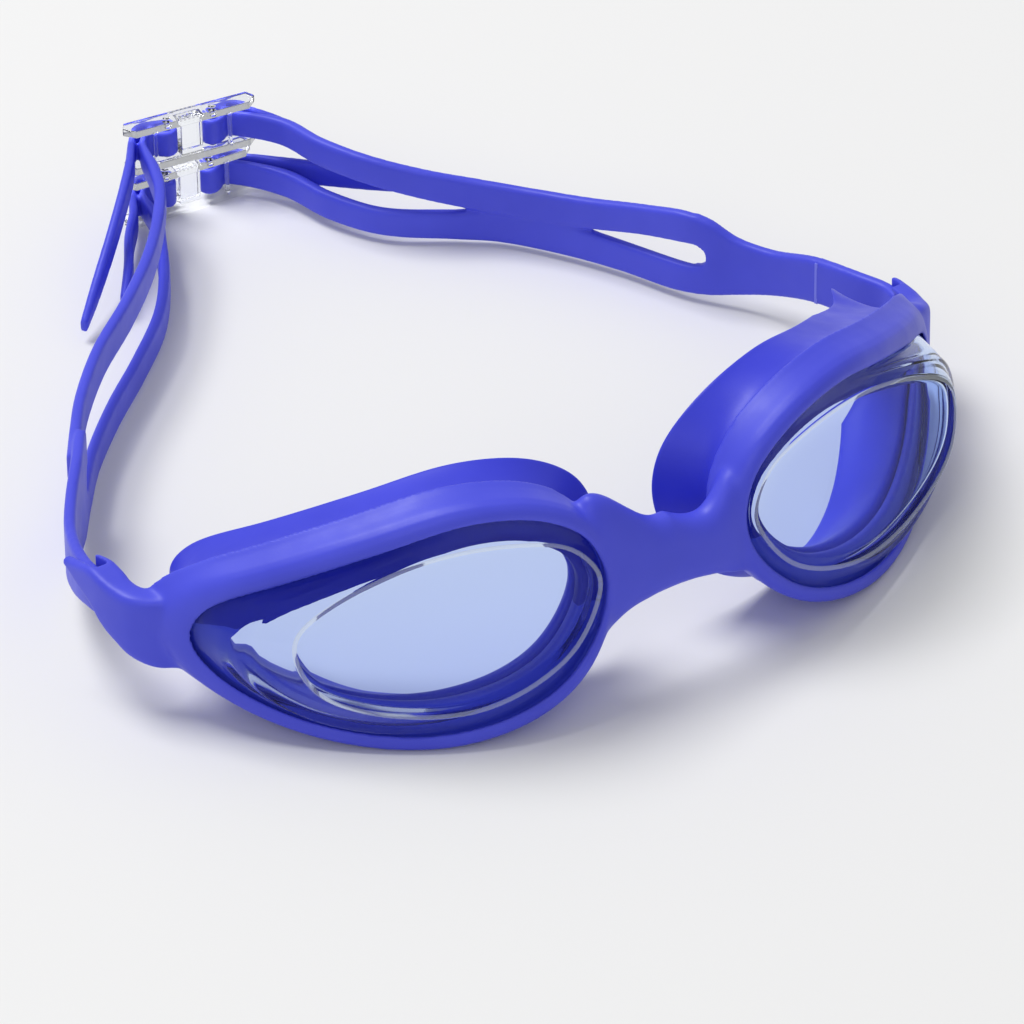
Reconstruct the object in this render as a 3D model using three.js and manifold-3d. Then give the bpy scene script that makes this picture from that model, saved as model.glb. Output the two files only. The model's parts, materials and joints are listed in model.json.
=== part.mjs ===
// Swim goggles standing on a table, with the head straps standing on edge behind them.
// One silicone frame holds two wrapped clear lenses and two soft face seals, and its side arms
// hold a pair of split straps that two clear clips join at the back.
// Millimetres. The lenses face -Y, the back of the head is at +Y, and +Z is up.
// Pieces named right lie at +X, on the right as the goggles are seen from in front.
import * as THREE from 'three';
import { mergeVertices } from 'three/addons/utils/BufferGeometryUtils.js';
import Module from 'manifold-3d';

const wasm = await Module();
wasm.setup();

// ---- Driving dimensions ----------------------------------------------------------------------

const RING_STEPS = 44; // points round each rim, lens and seal
const CLEARANCE = 0.3; // gap between neighbouring pieces

// The lenses wrap round the face: the depth of the rim's front at a distance x from the nose.
const WRAP = { start: 12, slope: -0.153, curve: 0.01155 };
const LEAN = 0.195; // how far the rims lean back for each millimetre of height
const PANE = { start: 20, depth: 0.36, slope: 0.188, curve: 0.0026, lean: 0.265 };

// Inner edge of the right rim (x, z), anticlockwise from the temple, and of the raised lens pane.
const RIM_OUTLINE = [
  [72, -4.8], [69.4, 1], [61, 6.6], [48.5, 12.9], [36, 16.9], [25, 15.5], [16.5, 9.6],
  [13.7, 2], [15.5, -5], [24, -13.4], [42.9, -18.7], [60, -16.9], [69.2, -11.2],
];
const PANE_OUTLINE = [
  [64.6, -0.8], [63.2, 3.2], [55, 8.2], [41.5, 11.9], [28, 11.6], [18.9, 8.9],
  [14.7, 3.4], [15.6, -1.2], [22, -9.3], [37, -14.9], [53, -12.8], [62, -7.8],
];

const RIM_DEPTH = 7.6; // front to back at the nose
const TEMPLE_DEPTH_LOSS = 0.1; // part of that depth lost by the temple
const RIM_REACH = 58; // from the nose end of a rim to its temple end
const RIM_WIDTH = 3; // from the inner edge to the outside
const RIM_ROOT = -4; // the rims start this far inside their opening, which is cut out later
const GROOVE = { reach: 1.7, front: 1, back: 3.3, lip: -2.8 };
// A rim's section from front to back: out from its inner edge, and back from its front.
const RIM_SECTION = [
  [0.7, 0], [1.9, 0.3], [2.8, 1.5], [RIM_WIDTH, 4], [RIM_WIDTH, RIM_DEPTH - 0.7], [2.5, RIM_DEPTH],
];
const LENS = { wall: 1.9, flange: 1.3, paneBevel: 1.2, middle: { x: 39, z: -1.2 } };
// The lens's side wall between its base and its pane: the share of the way in, and forwards.
const LENS_WALL = [[0.1, 0.25], [0.27, 0.59], [0.54, 0.69]];
// The seals lean towards the nose as they go back, most at the temple.
const SEAL = { start: RIM_DEPTH + CLEARANCE, depth: 7.4, lip: 1.2, noseShift: 5, templeShift: 9 };
// A seal's section: out from the rim's inner edge, back from its start, share of the lean, and
// how far the top is lowered.
const SEAL_OUTSIDE = [
  { out: 1.9, back: 0, lean: 0, drop: 0 }, { out: 1.1, back: 2, lean: 0.1, drop: 0 },
  { out: 1.4, back: 4.3, lean: 0.5, drop: 0.8 },
  { out: RIM_WIDTH, back: SEAL.depth, lean: 1, drop: 1.8 },
];
const SEAL_INSIDE = [
  { out: RIM_WIDTH - SEAL.lip, back: SEAL.depth + 0.5, lean: 1, drop: 1.8 },
  { out: -0.4, back: 4.8, lean: 0.5, drop: 0.8 }, { out: -1.9, back: 2.5, lean: 0.1, drop: 0 },
  { out: -2.6, back: 0, lean: 0, drop: 0 },
];

// The bridge is an oval bar whose top sweeps up, and bottom down, into the rims at both ends.
const BRIDGE = {
  top: 7.2, topSweep: 3.4, bottom: -5, bottomSweep: 6.4, bottomPower: 2.4,
  front: -0.4, depth: 5.4, endDepth: 6.4, reach: 17, corner: 0.7, sections: 17, points: 12,
};

// Side arms and straps, right-hand side: plan points and heights.
const ARM_THICKNESS = 4.8;
const LUG = { x: 77.8, y: 48.6, slotFront: 43.9, innerWallEnd: 49, left: -3.9, right: -8.4 };
const RIGHT = { sign: 1, lugHeight: LUG.right };
const LEFT = { sign: -1, lugHeight: LUG.left };
const ARM_CENTRE = -5; // height of the arms' middle where they leave the rims
// An arm's stations: plan point, low and high edge, and its share of the way up to the lug.
const ARM_STATIONS = [
  [70.5, 37.6, -13.6, 0.4, 0], [74, 39, -13.2, 0.3, 0], [76.3, 41, -12.2, 0.1, 0.4],
  [77.3, 43.8, -10.5, -0.2, 0.7], [77.6, 46.8, -8.6, -0.4, 0.9], [77.7, 50.2, -6, -0.2, 1],
  [77.7, 53.2, -2.4, 0, 1],
];
const SLOT_REACH = 30; // long enough to cut right through an arm
const STRAP_THICKNESS = 2;
const STRAP_END = { radius: 4.2, tip: 0.6 }; // its round end, and half the height left at the tip
const LOOP_THICKNESS = 1.1; // the bands stretch thinner where they turn in the clips
const LOOP_HEIGHT = 5.2; // and narrower

const CLIP = {
  y: 162.6, length: 25, depth: 3.6, height: 9, rail: 1.4,
  pin: 4.3, pinRadius: 0.5, bar: 7, barRadius: 0.5, barFront: -1.5, plate: 4, plateDepth: 2.4,
  bevel: 1.8, postSides: 8,
};
const CLIPS = {
  upper: { x: 9, z: -7.3, turn: -0.13 },
  lower: { x: 8.2, z: -17.3, turn: -0.06 },
};

// Where a band enters and leaves a clip: along it from its middle, and back from its middle.
const BAND_IN = [[9.3, -1.1], [7.2, 0.4], [5.8, -0.7]];
const BAND_OUT = [[6.4, 1.9], [8.2, 2.1], [9.9, 1.3]];

const COLOURS = { silicone: 0x3c46d6, soft: 0x4048e0, lens: 0xbfd4ff, clip: 0xe4e8f2 };

// ---- Solids from rings -----------------------------------------------------------------------

function closedGeometry(points, triangles) {
  const geometry = new THREE.BufferGeometry();
  const positions = points.flatMap((point) => [point.x, point.y, point.z]);
  geometry.setAttribute('position', new THREE.Float32BufferAttribute(positions, 3));
  geometry.setIndex(triangles);
  return geometry;
}

// Joins two rings of the same size with triangles; a ring runs anticlockwise seen from its end.
function bandTriangles(first, second, count) {
  const triangles = [];
  for (let i = 0; i < count; i += 1) {
    const next = (i + 1) % count;
    triangles.push(first + i, first + next, second + next);
    triangles.push(first + i, second + next, second + i);
  }
  return triangles;
}

function middleOf(ring) {
  const sum = ring.reduce((total, point) => total.add(point), new THREE.Vector3());
  return sum.divideScalar(ring.length);
}

// A solid from a stack of rings, closed at both ends by fans round the ends' middles.
function stackSolid(rings, startMiddle = middleOf(rings[0]), endMiddle = middleOf(rings.at(-1))) {
  const count = rings[0].length;
  const points = rings.flat();
  const triangles = [];
  for (let k = 0; k + 1 < rings.length; k += 1) {
    triangles.push(...bandTriangles(k * count, (k + 1) * count, count));
  }
  const start = points.push(startMiddle) - 1;
  const end = points.push(endMiddle) - 1;
  const last = (rings.length - 1) * count;
  for (let i = 0; i < count; i += 1) {
    const next = (i + 1) % count;
    triangles.push(start, next, i);
    triangles.push(end, last + i, last + next);
  }
  return toManifold(closedGeometry(points, triangles));
}

// A ring-shaped solid: the last ring joins back to the first.
function hoopSolid(rings) {
  const count = rings[0].length;
  const triangles = [];
  for (let k = 0; k < rings.length; k += 1) {
    const next = (k + 1) % rings.length;
    triangles.push(...bandTriangles(k * count, next * count, count));
  }
  return toManifold(closedGeometry(rings.flat(), triangles));
}

function toManifold(source) {
  const bare = source.clone();
  bare.deleteAttribute('normal');
  bare.deleteAttribute('uv');
  const merged = mergeVertices(bare, 1e-4);
  const build = (indices) => new wasm.Manifold(new wasm.Mesh({
    numProp: 3,
    vertProperties: new Float32Array(merged.attributes.position.array),
    triVerts: new Uint32Array(indices),
  }));
  const solid = build(merged.index.array);
  if (solid.volume() > 0) {
    return solid;
  }
  const flipped = [];
  for (let i = 0; i < merged.index.count; i += 3) {
    flipped.push(merged.index.array[i], merged.index.array[i + 2], merged.index.array[i + 1]);
  }
  return build(flipped);
}

function toGeometry(solid) {
  const mesh = solid.getMesh();
  const geometry = new THREE.BufferGeometry();
  const stride = mesh.numProp;
  const positions = new Float32Array(mesh.numVert * 3);
  for (let i = 0; i < mesh.numVert; i += 1) {
    positions.set(mesh.vertProperties.subarray(i * stride, i * stride + 3), i * 3);
  }
  geometry.setAttribute('position', new THREE.BufferAttribute(positions, 3));
  geometry.setIndex([...mesh.triVerts]);
  return geometry;
}

function joined(solids) {
  return solids.reduce((whole, solid) => whole.add(solid));
}

// ---- Rims, lenses and seals ------------------------------------------------------------------

function outline(points) {
  const corners = points.map(([x, z]) => new THREE.Vector3(x, 0, z));
  const curve = new THREE.CatmullRomCurve3(corners, true, 'centripetal');
  const samples = [];
  for (let i = 0; i < RING_STEPS; i += 1) {
    const fraction = i / RING_STEPS;
    const point = curve.getPoint(fraction);
    const along = curve.getTangent(fraction);
    samples.push({ x: point.x, z: point.z, outX: along.z, outZ: -along.x });
  }
  return samples;
}

const rimSamples = outline(RIM_OUTLINE);
const paneSamples = outline(PANE_OUTLINE);

function wrapDepth(x) {
  const reach = x - WRAP.start;
  return WRAP.slope * reach + WRAP.curve * reach * reach;
}

function paneDepth(x, z) {
  const reach = x - PANE.start;
  return PANE.depth + PANE.slope * reach + PANE.curve * reach * reach + PANE.lean * z;
}

// How much of the full depth is left at this distance from the nose.
function depthShare(x) {
  return 1 - TEMPLE_DEPTH_LOSS * (x - WRAP.start) / RIM_REACH;
}

// A ring round the rim, out from its inner edge and back from its front.
function rimRing(out, back) {
  return rimSamples.map((sample) => {
    const x = sample.x + out * sample.outX;
    const z = sample.z + out * sample.outZ;
    const depth = wrapDepth(x) + LEAN * z + back * depthShare(sample.x);
    return new THREE.Vector3(x, depth, z);
  });
}

// A ring on the lens pane, inwards from its edge and behind its front, or shrunk to its middle.
function paneRing(inwards, back, size = 1) {
  const { middle } = LENS;
  return paneSamples.map((sample) => {
    const x = THREE.MathUtils.lerp(middle.x, sample.x - inwards * sample.outX, size);
    const z = THREE.MathUtils.lerp(middle.z, sample.z - inwards * sample.outZ, size);
    return new THREE.Vector3(x, paneDepth(x, z) + back, z);
  });
}

function blendRings(from, to, sideways, forwards) {
  return from.map((point, i) => new THREE.Vector3(
    THREE.MathUtils.lerp(point.x, to[i].x, sideways),
    THREE.MathUtils.lerp(point.y, to[i].y, forwards),
    THREE.MathUtils.lerp(point.z, to[i].z, sideways),
  ));
}

function mirrorPoints(points) {
  return points.map((point) => new THREE.Vector3(-point.x, point.y, point.z));
}

function mirrorRings(rings) {
  return rings.map(mirrorPoints);
}

function rimBody() {
  return [
    rimRing(RIM_ROOT, 0), ...RIM_SECTION.map(([out, back]) => rimRing(out, back)),
    rimRing(RIM_ROOT, RIM_DEPTH),
  ];
}

// What is cut out of a rim: the opening, with the groove that holds the lens flange.
function rimOpening() {
  const overshoot = 4;
  return [
    rimRing(0, -overshoot), rimRing(0, GROOVE.front), rimRing(GROOVE.reach, GROOVE.front),
    rimRing(GROOVE.reach, GROOVE.back), rimRing(GROOVE.lip, GROOVE.back),
    rimRing(GROOVE.lip, RIM_DEPTH + overshoot),
  ];
}

// The lens is a shallow cup: a flange in the rim's groove, a side wall and a raised front pane.
function lensRings() {
  const flangeFront = GROOVE.front + CLEARANCE;
  const flangeBack = GROOVE.back - CLEARANCE;
  const base = rimRing(-CLEARANCE, flangeFront);
  const edge = paneRing(0, 0);
  const innerBase = rimRing(-LENS.wall - CLEARANCE, flangeBack);
  const innerEdge = paneRing(LENS.wall, LENS.wall);
  return [
    paneRing(LENS.wall, LENS.wall, 0.5), innerEdge, blendRings(innerBase, innerEdge, 0.3, 0.5),
    innerBase, rimRing(LENS.flange, flangeBack), rimRing(LENS.flange, flangeFront), base,
    ...LENS_WALL.map(([inwards, forwards]) => blendRings(base, edge, inwards, forwards)),
    edge, paneRing(LENS.paneBevel, 0), paneRing(LENS.paneBevel, 0, 0.5),
  ];
}

// A ring of the seal, which is a soft hoop: a neck behind the rim that flares to a thin lip.
function sealRing({ out, back, lean, drop }) {
  return rimRing(out, SEAL.start + back).map((point, i) => {
    const sample = rimSamples[i];
    const templeShare = (sample.x - WRAP.start) / RIM_REACH;
    const shift = lean * THREE.MathUtils.lerp(SEAL.noseShift, SEAL.templeShift, templeShare);
    return new THREE.Vector3(point.x - shift, point.y, point.z - drop * Math.max(sample.outZ, 0));
  });
}

function sealRings() {
  return [...SEAL_OUTSIDE, ...SEAL_INSIDE].map(sealRing);
}

// The room that a seal needs behind its rim, cut out of the bridge and the arm.
function sealRoom() {
  const overshoot = 4;
  const wider = SEAL_OUTSIDE.map((section) => ({ ...section, out: section.out + CLEARANCE }));
  const lip = wider.at(-1);
  return [
    rimRing(RIM_ROOT, RIM_DEPTH), sealRing({ ...wider[0], back: -CLEARANCE }),
    ...wider.slice(1).map(sealRing), sealRing({ ...lip, back: lip.back + overshoot }),
  ];
}

// ---- Ribbons: the arms and straps -------------------------------------------------------------

// A band standing on edge along a plan curve. Each station is [x, y, low z, high z, thickness].
function ribbonSolid(stations) {
  const rings = stations.map(([x, y, low, high, thickness], i) => {
    const before = stations[Math.max(i - 1, 0)];
    const after = stations[Math.min(i + 1, stations.length - 1)];
    const along = new THREE.Vector2(after[0] - before[0], after[1] - before[1]).normalize();
    const corner = (side, z) => new THREE.Vector3(
      x + side * along.y * thickness / 2, y - side * along.x * thickness / 2, z);
    return [corner(1, low), corner(1, high), corner(-1, high), corner(-1, low)];
  });
  return stackSolid(rings);
}

// Smooth stations from a few hand-placed ones.
function smoothStations(stations, steps) {
  const plan = new THREE.CatmullRomCurve3(
    stations.map(([x, y, low]) => new THREE.Vector3(x, y, low)), false, 'centripetal');
  const sizes = new THREE.CatmullRomCurve3(
    stations.map(([, , , high, thickness]) => new THREE.Vector3(high, thickness, 0)),
    false, 'catmullrom', 0);
  const result = [];
  for (let i = 0; i <= steps; i += 1) {
    const place = plan.getPoint(i / steps);
    const size = sizes.getPoint(i / steps);
    result.push([place.x, place.y, place.z, size.x, size.y]);
  }
  return result;
}

function boxSolid(low, high) {
  const size = new THREE.Vector3(...high).sub(new THREE.Vector3(...low));
  const geometry = new THREE.BoxGeometry(size.x, size.y, size.z);
  geometry.translate(low[0] + size.x / 2, low[1] + size.y / 2, low[2] + size.z / 2);
  return toManifold(geometry);
}

// Side arm: from inside the temple end of the rim to the tapered tongue outside the strap.
function armSolid(side) {
  const lift = side.lugHeight - ARM_CENTRE;
  const stations = ARM_STATIONS.map(([x, y, low, high, liftShare]) => [
    side.sign * x, y, low + liftShare * lift, high + liftShare * lift, ARM_THICKNESS]);
  return ribbonSolid(smoothStations(stations, 18));
}

// The strap's end sits in this slot, which opens to the rear, top and bottom.
function slotSolids(side) {
  const halfSlot = STRAP_THICKNESS / 2 + CLEARANCE;
  const inner = side.sign * (LUG.x - halfSlot);
  const outer = side.sign * (LUG.x + halfSlot);
  const innerClear = side.sign * (LUG.x - ARM_THICKNESS);
  const spans = [[inner, outer, LUG.slotFront], [innerClear, outer, LUG.innerWallEnd]];
  return spans.map(([from, to, start]) => boxSolid(
    [Math.min(from, to), start, side.lugHeight - SLOT_REACH / 2],
    [Math.max(from, to), LUG.y + SLOT_REACH, side.lugHeight + SLOT_REACH / 2],
  ));
}

function bridgeSection(across) {
  const x = BRIDGE.reach * across;
  const sweep = THREE.MathUtils.smoothstep(Math.abs(across), 0, 1);
  const flare = Math.abs(across) ** BRIDGE.bottomPower;
  const top = BRIDGE.top + BRIDGE.topSweep * sweep;
  const bottom = BRIDGE.bottom - BRIDGE.bottomSweep * flare;
  const depth = THREE.MathUtils.lerp(BRIDGE.depth, BRIDGE.endDepth, flare);
  const rounded = (value) => Math.sign(value) * Math.abs(value) ** BRIDGE.corner;
  const ring = [];
  for (let k = 0; k < BRIDGE.points; k += 1) {
    const turn = (k + 0.5) / BRIDGE.points * 2 * Math.PI;
    const z = (top + bottom) / 2 + (top - bottom) / 2 * rounded(Math.sin(turn));
    const y = BRIDGE.front + depth / 2 * (1 + rounded(Math.cos(turn))) + LEAN * z;
    ring.push(new THREE.Vector3(x, y, z));
  }
  return ring;
}

function bridgeSolid() {
  const last = BRIDGE.sections - 1;
  return stackSolid(Array.from({ length: BRIDGE.sections }, (_, i) => bridgeSection(2 * i / last - 1)));
}

function frameSolid() {
  const sides = [RIGHT, LEFT];
  const rims = [stackSolid(rimBody()), stackSolid(mirrorRings(rimBody()))];
  const whole = joined([...rims, bridgeSolid(), ...sides.map(armSolid)]);
  const hollows = [rimOpening(), sealRoom()];
  const openings = [...hollows, ...hollows.map(mirrorRings)].map((rings) => stackSolid(rings));
  return whole.subtract(joined([...openings, ...sides.flatMap(slotSolids)]));
}

// ---- Straps ------------------------------------------------------------------------------------

// A point of a clip's own plan: along its length from the middle, and back from its middle.
function clipPoint(clip, along, back) {
  const cos = Math.cos(clip.turn);
  const sin = Math.sin(clip.turn);
  return [clip.x + along * cos - back * sin, CLIP.y + along * sin + back * cos];
}

// The turn of a band round a clip's pin: in behind the outer bar, round the pin and out behind.
function clipTurn(clip, sign) {
  const low = clip.z - LOOP_HEIGHT / 2;
  const high = clip.z + LOOP_HEIGHT / 2;
  const radius = CLIP.pinRadius + CLEARANCE + LOOP_THICKNESS / 2;
  const steps = 6;
  const round = Array.from({ length: steps + 1 }, (_, i) => {
    const turn = Math.PI * (i / steps - 0.5);
    return [CLIP.pin - radius * Math.cos(turn), radius * Math.sin(turn)];
  });
  return [...BAND_IN, ...round, ...BAND_OUT].map(([along, back]) => [
    ...clipPoint(clip, sign * along, back), low, high, LOOP_THICKNESS]);
}

function strapSolid(parts) {
  return joined(parts.map(({ stations, steps }) => ribbonSolid(smoothStations(stations, steps))));
}

// The strap's round end, centred on the lug's axis, then the single band.
function strapEnd(side) {
  const x = side.sign * LUG.x;
  return [-1, -0.8, -0.45, 0].map((share) => {
    const half = Math.max(STRAP_END.radius * Math.sqrt(1 - share * share), STRAP_END.tip);
    return [x, LUG.y + STRAP_END.radius * share, side.lugHeight - half, side.lugHeight + half,
      STRAP_THICKNESS];
  });
}

function rightStrap() {
  const t = STRAP_THICKNESS;
  const single = [
    [LUG.x, LUG.y, -12.6, -4.2, t], [78, 52, -12.6, -4.2, t], [76.2, 57.5, -13.2, -4.3, t],
    [73.8, 67, -14.2, -5.4, t], [71.2, 76.4, -17, -8, t], [68.2, 82, -18.8, -7.4, t],
    [65.6, 85.6, -19.8, -5, t], [64.4, 87.4, -20.2, -4.2, t],
  ];
  const upper = [
    [66.6, 84.2, -10.2, -6.4, t], [63.5, 88.6, -10.2, -4.3, t], [59.6, 97.4, -11.6, -5.8, t],
    [55, 107, -13.8, -7.9, t], [50.1, 115.2, -14.7, -8.8, t], [43, 123.4, -14.4, -8.4, t],
    [35, 129.6, -12.3, -6.6, t], [28.5, 136.6, -10.6, -5.1, t], [24.6, 145, -10, -4.6, t],
    [22.8, 154, -9.9, -4.7, t],
  ];
  const lower = [
    [66.6, 84.2, -19.2, -14.6, t], [63, 89.6, -20.3, -14.6, t], [57.8, 102, -20.6, -14.8, t],
    [52.7, 111, -20.7, -15.2, t], [45.5, 121, -20.8, -15.4, t], [39.3, 126.4, -20.7, -15.3, t],
    [30, 134, -20.3, -15, t], [25, 143.3, -20.1, -14.8, t], [22.6, 153, -19.9, -14.7, t],
  ];
  const upperTail = [[23.7, 157, -10.4, -6, 1.6], [26.4, 149.6, -11.2, -7.6, 1.6]];
  const lowerTail = [
    [23.4, 157, -19.2, -14.2, 1.6], [27.7, 148, -17, -12.2, 1.6], [33.4, 139.6, -15.6, -11.4, 1.6],
    [40.6, 131.6, -14.6, -12, 1.4],
  ];
  return strapSolid([
    { stations: [...strapEnd(RIGHT).slice(0, 3), ...single], steps: 36 },
    { stations: [...upper, ...clipTurn(CLIPS.upper, 1), ...upperTail], steps: 72 },
    { stations: [...lower, ...clipTurn(CLIPS.lower, 1), ...lowerTail], steps: 76 },
  ]);
}

function leftStrap() {
  const t = STRAP_THICKNESS;
  const single = [
    [-LUG.x, LUG.y, -8.1, 0.3, t], [-78, 52, -8.2, 0.1, t], [-76.4, 58.7, -10.5, -1.2, t],
    [-73, 66.9, -13.5, -2.6, t], [-67.9, 75, -17, -2.8, t], [-61.8, 83.2, -19.5, -2.2, t],
    [-59, 87.2, -20.2, -2.2, t], [-57.7, 89, -20.3, -2.4, t],
  ];
  const upper = [
    [-61.8, 84.8, -9, -3.4, t], [-57.4, 91, -9.2, -2.8, t], [-51.6, 98.9, -9.4, -3, t],
    [-41.8, 109.6, -9.6, -3.2, t], [-30.4, 119.4, -9.6, -3.4, t], [-20.3, 129.2, -9.6, -3.8, t],
    [-12.6, 138.4, -9.8, -4.4, t], [-6, 148, -9.9, -4.7, t], [-3.4, 154, -9.9, -4.7, t],
  ];
  const lower = [
    [-61, 84.6, -19.6, -15, t], [-55.6, 91.8, -20.5, -14.8, t], [-49.5, 99.5, -20.6, -15, t],
    [-39.7, 109.3, -20.7, -15, t], [-29, 118.6, -20.7, -15, t], [-18.4, 128.8, -20.7, -15, t],
    [-11.2, 138.8, -20.5, -15, t], [-6, 148.4, -20.1, -14.8, t], [-3.2, 154, -19.9, -14.7, t],
  ];
  const upperTail = [
    [-6, 158, -9.9, -4.9, 1.6], [-11.6, 151.6, -11.2, -6.2, 1.6],
    [-17.6, 145.6, -13.6, -8.8, 1.6], [-24.4, 139.8, -17.4, -13.4, 1.6],
    [-29, 136.2, -20, -17.4, 1.4],
  ];
  const lowerTail = [
    [-5.8, 157.6, -19.8, -14.6, 1.6], [-10.4, 151.6, -19.8, -14.6, 1.6],
    [-15, 144.4, -19.8, -15, 1.6], [-19.6, 138.4, -19.6, -16.8, 1.4],
  ];
  return strapSolid([
    { stations: [...strapEnd(LEFT).slice(0, 3), ...single], steps: 36 },
    { stations: [...upper, ...clipTurn(CLIPS.upper, -1), ...upperTail], steps: 76 },
    { stations: [...lower, ...clipTurn(CLIPS.lower, -1), ...lowerTail], steps: 76 },
  ]);
}

// ---- Clips -------------------------------------------------------------------------------------

function postSolid(radius, along, back) {
  const geometry = new THREE.CylinderGeometry(radius, radius, CLIP.height - CLIP.rail,
    CLIP.postSides);
  geometry.rotateX(Math.PI / 2);
  geometry.translate(along, back, 0);
  return toManifold(geometry);
}

function railSolid(height) {
  const half = CLIP.length / 2;
  const { bevel } = CLIP;
  const profile = new THREE.Shape();
  profile.moveTo(-half, CLIP.depth / 2 - bevel);
  profile.lineTo(-half + bevel, -CLIP.depth / 2);
  profile.lineTo(half - bevel, -CLIP.depth / 2);
  profile.lineTo(half, CLIP.depth / 2 - bevel);
  profile.lineTo(half - bevel / 2, CLIP.depth / 2);
  profile.lineTo(bevel / 2 - half, CLIP.depth / 2);
  profile.closePath();
  const geometry = new THREE.ExtrudeGeometry(profile, { depth: CLIP.rail, bevelEnabled: false });
  geometry.translate(0, 0, height - CLIP.rail / 2);
  return toManifold(geometry);
}

function clipMesh(name, clip) {
  const offset = (CLIP.height - CLIP.rail) / 2;
  const plateBack = CLIP.plateDepth / 2;
  const solid = joined([
    railSolid(offset), railSolid(-offset),
    boxSolid([-CLIP.plate / 2, -plateBack, -offset], [CLIP.plate / 2, plateBack, offset]),
    ...[-1, 1].map((side) => postSolid(CLIP.pinRadius, side * CLIP.pin, 0)),
    ...[-1, 1].map((side) => postSolid(CLIP.barRadius, side * CLIP.bar, CLIP.barFront)),
  ]);
  const mesh = new THREE.Mesh(toGeometry(solid), material(COLOURS.clip, 0.1));
  mesh.name = name;
  mesh.position.set(clip.x, CLIP.y, clip.z);
  mesh.rotation.z = clip.turn;
  return mesh;
}

// ---- Assembly ----------------------------------------------------------------------------------

function material(color, roughness) {
  return new THREE.MeshStandardMaterial({ color, roughness, metalness: 0 });
}

function pieceMesh(name, solid, colour, roughness) {
  const mesh = new THREE.Mesh(toGeometry(solid), material(colour, roughness));
  mesh.name = name;
  return mesh;
}

const goggles = new THREE.Group();
goggles.add(
  pieceMesh('frame', frameSolid(), COLOURS.silicone, 0.5),
  pieceMesh('lens_right', stackSolid(lensRings()), COLOURS.lens, 0.05),
  pieceMesh('lens_left', stackSolid(mirrorRings(lensRings())), COLOURS.lens, 0.05),
  pieceMesh('seal_right', hoopSolid(sealRings()), COLOURS.soft, 0.55),
  pieceMesh('seal_left', hoopSolid(mirrorRings(sealRings())), COLOURS.soft, 0.55),
  pieceMesh('strap_right', rightStrap(), COLOURS.silicone, 0.5),
  pieceMesh('strap_left', leftStrap(), COLOURS.silicone, 0.5),
  clipMesh('clip_upper', CLIPS.upper),
  clipMesh('clip_lower', CLIPS.lower),
);

// Stands the goggles on z = 0 with the middle of their footprint at the origin.
goggles.updateMatrixWorld(true);
const box = new THREE.Box3().setFromObject(goggles);
const middle = box.getCenter(new THREE.Vector3());
goggles.position.set(-middle.x, -middle.y, -box.min.z);

export default goggles;
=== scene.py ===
"""Swim goggles standing on a pale floor: the looks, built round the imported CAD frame."""
import json
import math

import bmesh
import bpy
import numpy as np
from mathutils import Matrix, Vector

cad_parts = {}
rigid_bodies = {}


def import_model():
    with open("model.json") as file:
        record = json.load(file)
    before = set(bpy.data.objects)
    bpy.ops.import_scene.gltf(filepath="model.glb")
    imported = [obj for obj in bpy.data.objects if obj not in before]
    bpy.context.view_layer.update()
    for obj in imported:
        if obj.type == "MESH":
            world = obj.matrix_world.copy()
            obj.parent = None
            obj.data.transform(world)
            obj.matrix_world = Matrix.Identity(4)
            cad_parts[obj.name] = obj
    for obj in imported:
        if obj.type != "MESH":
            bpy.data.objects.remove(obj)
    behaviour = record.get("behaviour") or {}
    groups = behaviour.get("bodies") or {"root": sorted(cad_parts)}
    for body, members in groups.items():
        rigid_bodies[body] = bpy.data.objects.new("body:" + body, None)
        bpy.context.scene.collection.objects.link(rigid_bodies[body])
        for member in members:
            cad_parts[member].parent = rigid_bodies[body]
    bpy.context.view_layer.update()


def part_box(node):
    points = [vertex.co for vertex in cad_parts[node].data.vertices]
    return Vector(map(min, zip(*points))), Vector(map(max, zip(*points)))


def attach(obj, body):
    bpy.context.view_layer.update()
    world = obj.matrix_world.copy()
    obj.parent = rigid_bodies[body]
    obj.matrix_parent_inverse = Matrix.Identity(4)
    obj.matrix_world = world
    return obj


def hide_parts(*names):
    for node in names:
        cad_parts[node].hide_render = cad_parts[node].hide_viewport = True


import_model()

# ---- Driving dimensions, in millimetres, measured from the middle of the nose bridge ----------

MM = 0.001
CLIP_CENTRE_DEPTH = 162.6                     # how far the clips' line is behind the nose bridge
STAND_HEIGHT = 21.8                           # height of the nose bridge's middle above the floor
CLIP_LOW, CLIP_HIGH = (Vector(corner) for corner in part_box("clip_lower"))
ORIGIN = np.array([0, (CLIP_LOW.y + CLIP_HIGH.y) / 2 / MM - CLIP_CENTRE_DEPTH, STAND_HEIGHT])

RING_STEPS = 264                              # points round a rim, lens or seal
CURVE_STEPS, SOFTENING_ROUNDS = 40, 60        # steps between a curve's points, and rounds of smoothing
GAP = 0.3                                     # clearance between neighbouring pieces
WRAP_START, WRAP_SLOPE, WRAP_CURVE = 12, -0.153, 0.01155
LEAN = 0.195                                  # how far a rim leans back for each mm of height
PANE_START, PANE_DEPTH, PANE_SLOPE, PANE_CURVE, PANE_LEAN = 20, 0.36, 0.188, 0.0026, 0.265
PANE_MIDDLE = np.array([39, -1.2])
PANE_EVEN_SHARE = 0.5                         # how far the pane's points are spread evenly by angle
RIM_OUTLINE = [
    (72, -4.8), (69.4, 1), (61, 6.6), (48.5, 12.9), (36, 16.9), (25, 15.5), (16.5, 9.6),
    (13.7, 2), (15.5, -5), (24, -13.4), (42.9, -18.7), (60, -16.9), (69.2, -11.2),
]
PANE_OUTLINE = [
    (64.6, -0.8), (63.2, 3.2), (55, 8.2), (41.5, 11.9), (28, 11.6), (18.9, 8.9),
    (14.7, 3.4), (15.6, -1.2), (22, -9.3), (37, -14.9), (53, -12.8), (62, -7.8),
]
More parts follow.
